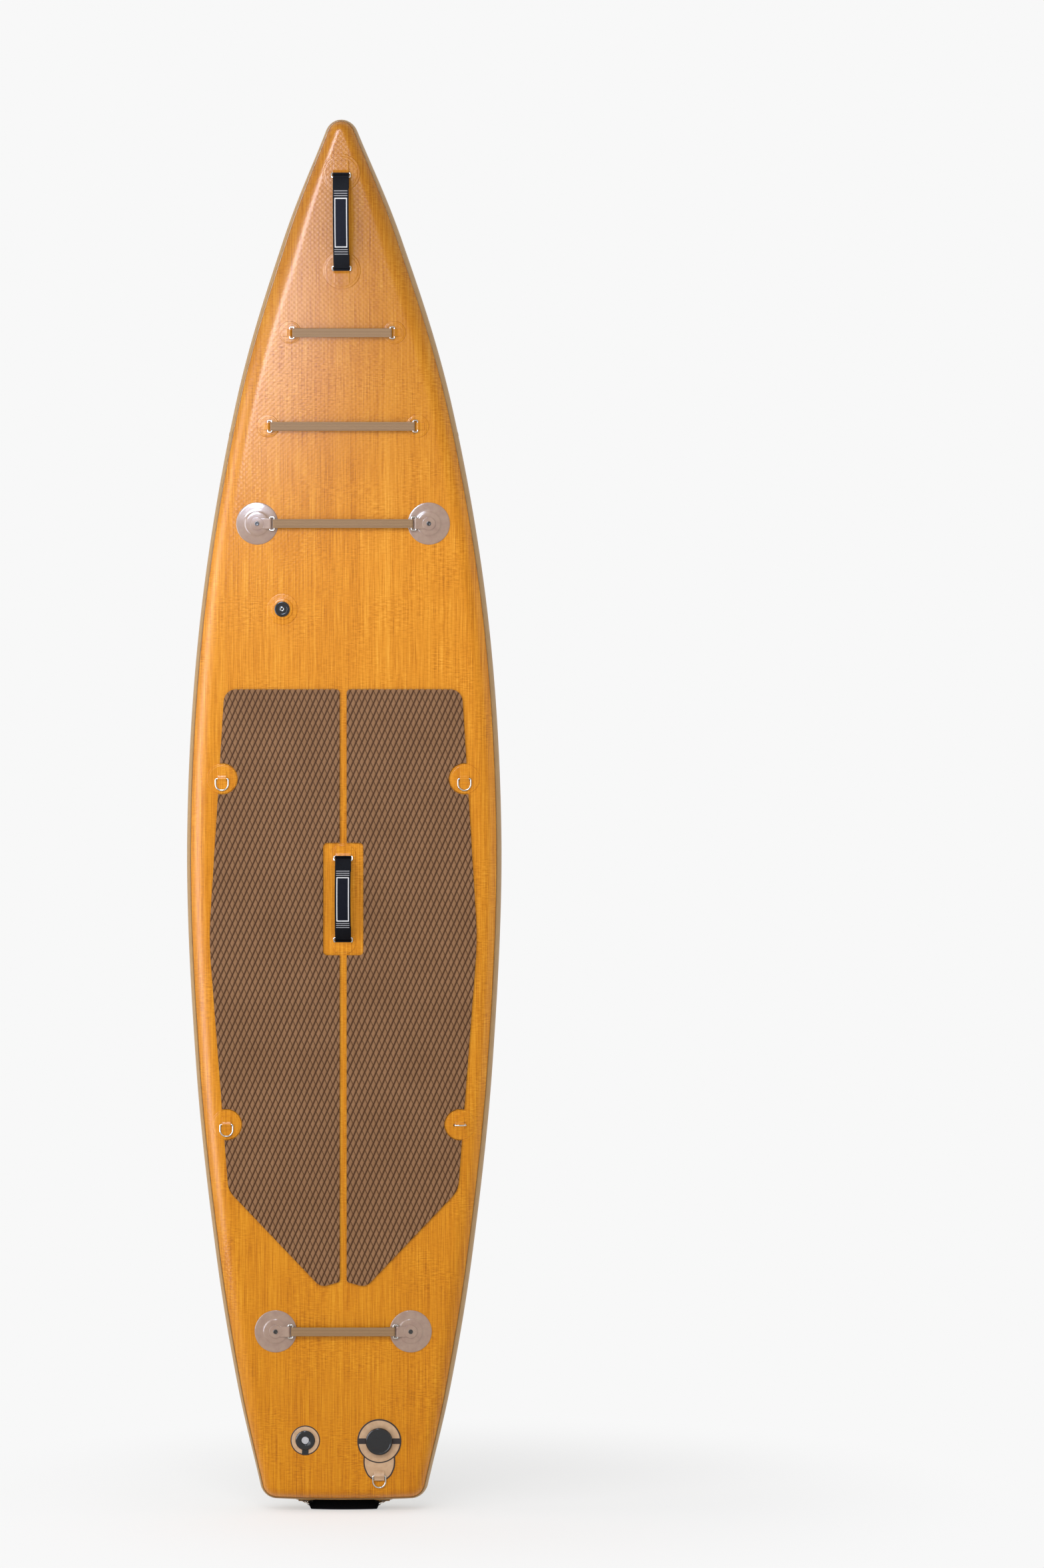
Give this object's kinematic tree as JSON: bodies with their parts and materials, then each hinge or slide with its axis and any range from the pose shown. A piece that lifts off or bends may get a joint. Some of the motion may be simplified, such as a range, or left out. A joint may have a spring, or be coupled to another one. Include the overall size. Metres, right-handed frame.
{
  "type": "stand up paddleboard",
  "caption": "Inflatable touring stand up paddleboard with wood-print deck, foam deck pads, webbing handles, elastic cargo straps, valves and a sliding centre fin.",
  "frame": {"origin": "on the flat underside of the hull, on the centre line, opposite the middle of the carry handle", "axes": "+Z to the nose, +Y out of the hull's underside (the deck faces -Y), +X to the right seen from the deck side"},
  "size_m": [0.84, 0.5789, 3.6892],
  "materials": {
    "wood_print_pvc": "satin wood-grain print",
    "tan_rail_pvc": "satin",
    "pale_hull_pvc": "satin",
    "drop_stitch_fabric": "woven",
    "brown_eva_foam": "grooved foam",
    "black_webbing": "woven",
    "olive_elastic": "ribbed",
    "stainless_steel": "polished",
    "mauve_tan_pvc": "satin",
    "tan_plate_pvc": "satin",
    "black_plastic": "satin",
    "grey_plastic": "satin",
    "fin_black_plastic": "satin"
  },
  "bodies": {
    "board": {"deck_skin": "wood_print_pvc", "hull_skin": "pale_hull_pvc", "rail_band": "tan_rail_pvc", "drop_stitch_core": "drop_stitch_fabric", "deck_pad_left": "brown_eva_foam", "deck_pad_right": "brown_eva_foam", "nose_handle_strap": "black_webbing", "nose_handle_patch_upper": "wood_print_pvc", "nose_handle_ring_upper": "stainless_steel", "nose_handle_patch_lower": "wood_print_pvc", "nose_handle_ring_lower": "stainless_steel", "carry_handle_strap": "black_webbing", "carry_handle_patch_upper": "wood_print_pvc", "carry_handle_ring_upper": "stainless_steel", "carry_handle_patch_lower": "wood_print_pvc", "carry_handle_ring_lower": "stainless_steel", "tail_handle_strap": "black_webbing", "tail_handle_patch_left": "tan_rail_pvc", "tail_handle_ring_left": "stainless_steel", "tail_handle_patch_right": "tan_rail_pvc", "tail_handle_ring_right": "stainless_steel", "bungee_1_strap": "olive_elastic", "bungee_1_ring_left": "stainless_steel", "bungee_1_patch_left": "wood_print_pvc", "bungee_1_ring_right": "stainless_steel", "bungee_1_patch_right": "wood_print_pvc", "bungee_2_strap": "olive_elastic", "bungee_2_ring_left": "stainless_steel", "bungee_2_patch_left": "wood_print_pvc", "bungee_2_ring_right": "stainless_steel", "bungee_2_patch_right": "wood_print_pvc", "bungee_3_strap": "olive_elastic", "bungee_3_ring_left": "stainless_steel", "bungee_3_cup_left": "mauve_tan_pvc", "bungee_3_ring_right": "stainless_steel", "bungee_3_cup_right": "mauve_tan_pvc", "bungee_4_strap": "olive_elastic", "bungee_4_ring_left": "stainless_steel", "bungee_4_cup_left": "mauve_tan_pvc", "bungee_4_ring_right": "stainless_steel", "bungee_4_cup_right": "mauve_tan_pvc", "side_patch_upper_left": "wood_print_pvc", "side_patch_upper_right": "wood_print_pvc", "side_patch_lower_left": "wood_print_pvc", "side_patch_lower_right": "wood_print_pvc", "valve_plate": "tan_plate_pvc", "valve_body": "black_plastic", "valve_spring": "stainless_steel", "relief_valve_body": "black_plastic", "action_mount": "wood_print_pvc", "fin_box": "fin_black_plastic"},
    "side_ring_upper_left": {"side_ring_upper_left": "stainless_steel"},
    "side_ring_upper_right": {"side_ring_upper_right": "stainless_steel"},
    "side_ring_lower_left": {"side_ring_lower_left": "stainless_steel"},
    "side_ring_lower_right": {"side_ring_lower_right": "stainless_steel"},
    "leash_ring": {"leash_ring": "stainless_steel"},
    "valve_cap": {"valve_cap": "black_plastic"},
    "valve_stem": {"valve_stem": "grey_plastic"},
    "relief_poppet": {"relief_poppet": "grey_plastic"},
    "fin": {"fin": "fin_black_plastic"}
  },
  "joints": [
    {"name": "side_ring_upper_left_swing", "type": "hinge", "parent": "board", "child": "side_ring_upper_left", "pos_m": [-0.3223, -0.1564, 0.31999], "axis": [-1, 0, 0], "range_deg": [0, 180]},
    {"name": "side_ring_upper_right_swing", "type": "hinge", "parent": "board", "child": "side_ring_upper_right", "pos_m": [0.3223, -0.1564, 0.31999], "axis": [-1, 0, 0], "range_deg": [0, 180]},
    {"name": "side_ring_lower_left_swing", "type": "hinge", "parent": "board", "child": "side_ring_lower_left", "pos_m": [-0.3106, -0.1564, -0.60001], "axis": [-1, 0, 0], "range_deg": [0, 180]},
    {"name": "side_ring_lower_right_swing", "type": "hinge", "parent": "board", "child": "side_ring_lower_right", "pos_m": [0.3106, -0.1564, -0.60001], "axis": [-1, 0, 0], "range_deg": [-90, 90]},
    {"name": "leash_ring_swing", "type": "hinge", "parent": "board", "child": "leash_ring", "pos_m": [0.096, -0.1564, -1.53401], "axis": [-1, 0, 0], "range_deg": [0, 180]},
    {"name": "valve_cap_lift", "type": "slide", "parent": "board", "child": "valve_cap", "axis": [0, -1, 0], "range_m": [0, 0.06]},
    {"name": "valve_stem_push", "type": "slide", "parent": "board", "child": "valve_stem", "axis": [0, 1, 0], "range_m": [0, 0.006], "stiffness_N_per_m": 600, "springref_m": -0.006, "deforming": ["valve_spring"]},
    {"name": "relief_poppet_lift", "type": "slide", "parent": "board", "child": "relief_poppet", "axis": [0, -1, 0], "range_m": [0, 0.0025], "stiffness_N_per_m": 600, "springref_m": -0.005},
    {"name": "fin_slide", "type": "slide", "parent": "board", "child": "fin", "axis": [0, 0, 1], "range_m": [-0.03, 0.03]}
  ]
}
